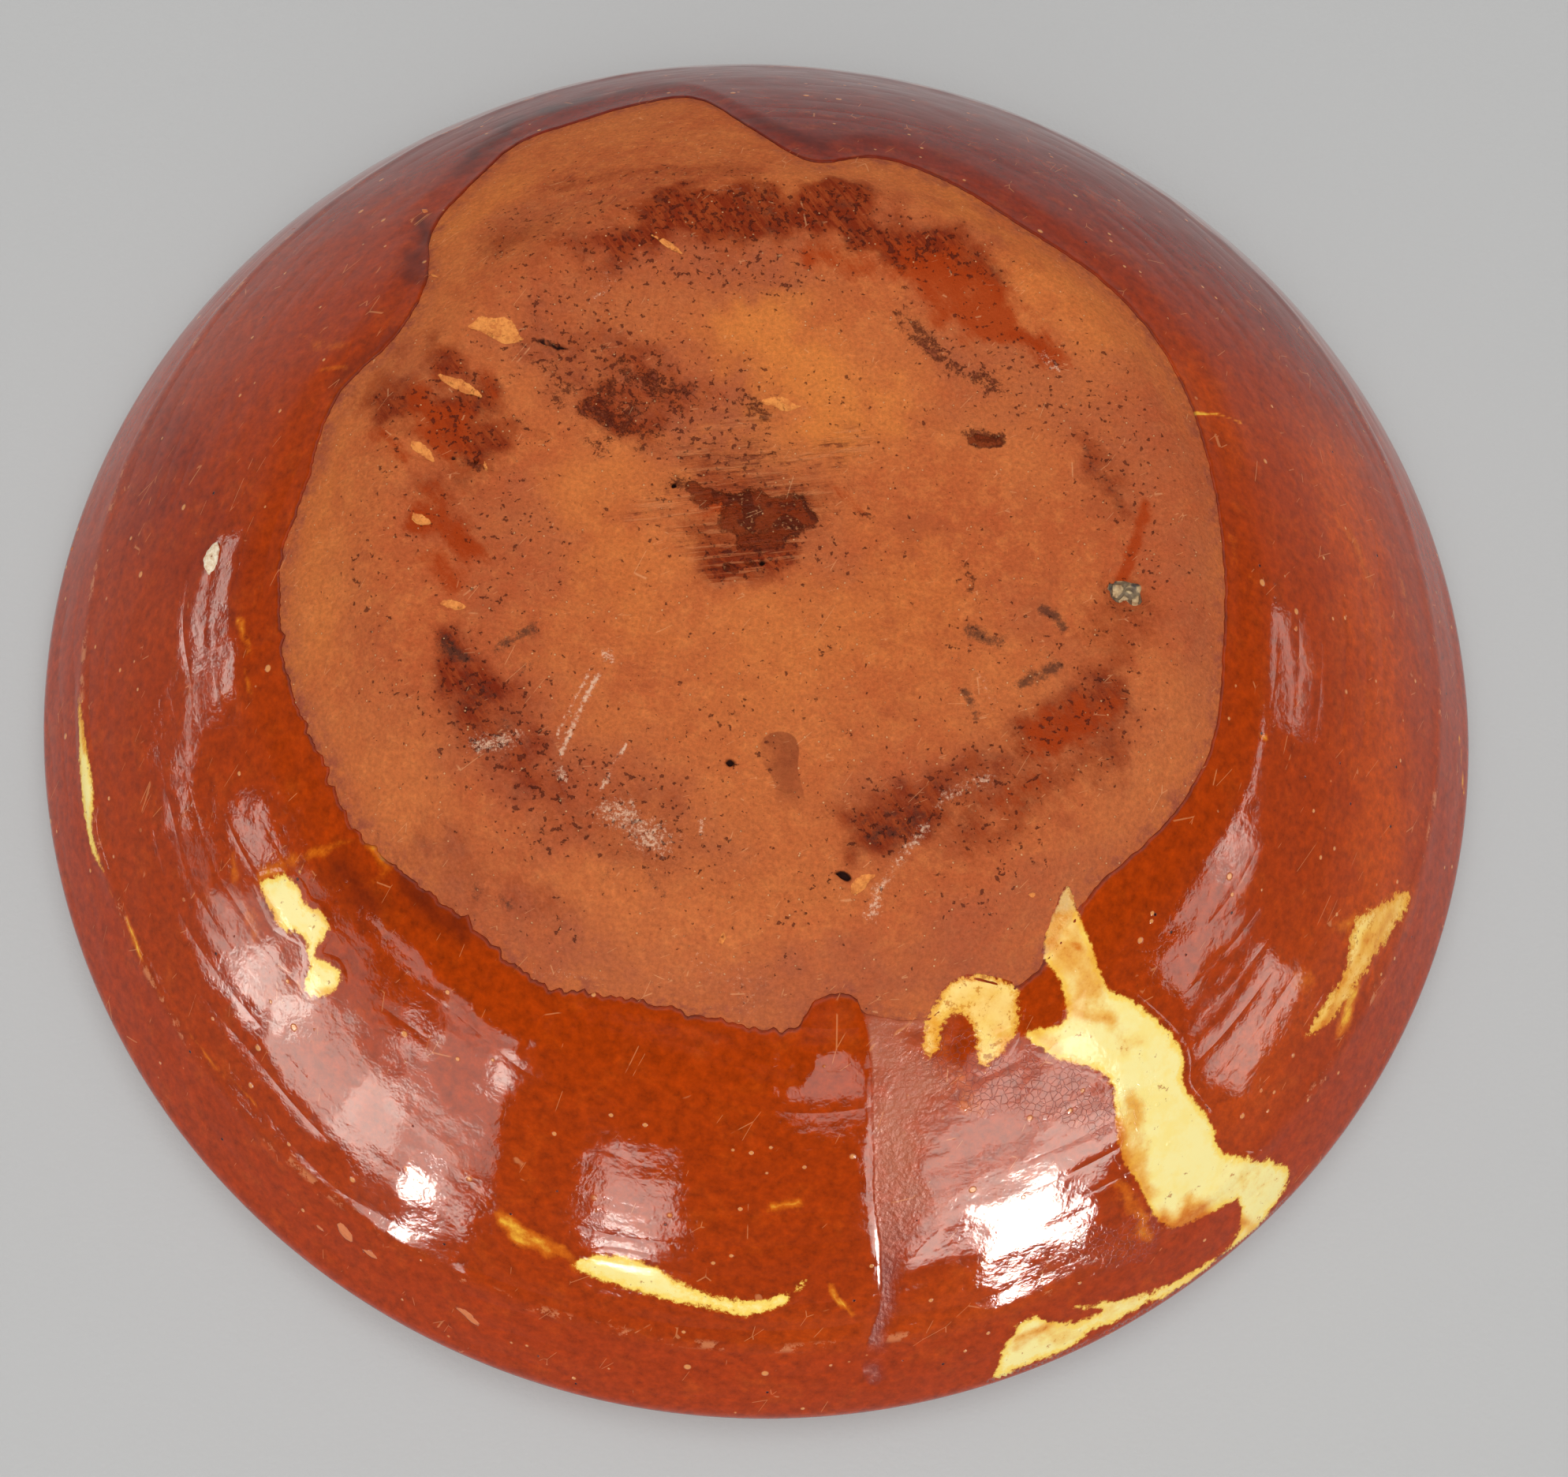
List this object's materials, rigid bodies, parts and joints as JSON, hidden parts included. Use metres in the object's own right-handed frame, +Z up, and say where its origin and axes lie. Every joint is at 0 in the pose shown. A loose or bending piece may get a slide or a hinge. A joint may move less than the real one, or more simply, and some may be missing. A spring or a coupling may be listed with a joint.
{
  "type": "deep dish",
  "caption": "Wheel-thrown red earthenware deep dish lying rim down: flat bare foot, convex glazed wall, soft ridge, rounded rim and splashes of yellow slip.",
  "frame": {"origin": "centre of the plane that the rim rests on, with the dish upside down as it was pictured", "axes": "+Z up along the turning axis, from the rim to the foot; +X to the right and +Y away from the viewer as pictured"},
  "size_m": [0.3, 0.3, 0.074],
  "materials": {
    "fired_clay": "bare fired red earthenware, matt, with a darker stained ring",
    "outer_glaze": "glossy transparent orange-brown lead glaze with pinholes and fine crazing",
    "inner_glaze": "glossy orange-brown lead glaze",
    "yellow_slip": "pale yellow slip under the clear glaze",
    "thin_slip": "thin mottled slip under the clear glaze",
    "grit": "rough grey-brown stone",
    "lime": "chalky white lime"
  },
  "bodies": {
    "root": {"clay_body": "fired_clay", "outer_glaze": "outer_glaze", "inner_glaze": "inner_glaze", "slip_splash_large": "yellow_slip", "slip_splash_left": "yellow_slip", "slip_streak_front": "yellow_slip", "slip_streak_ridge": "yellow_slip", "slip_lobe": "thin_slip", "slip_streak_right": "thin_slip", "grit_stone": "grit", "lime_speck": "lime"}
  },
  "joints": []
}
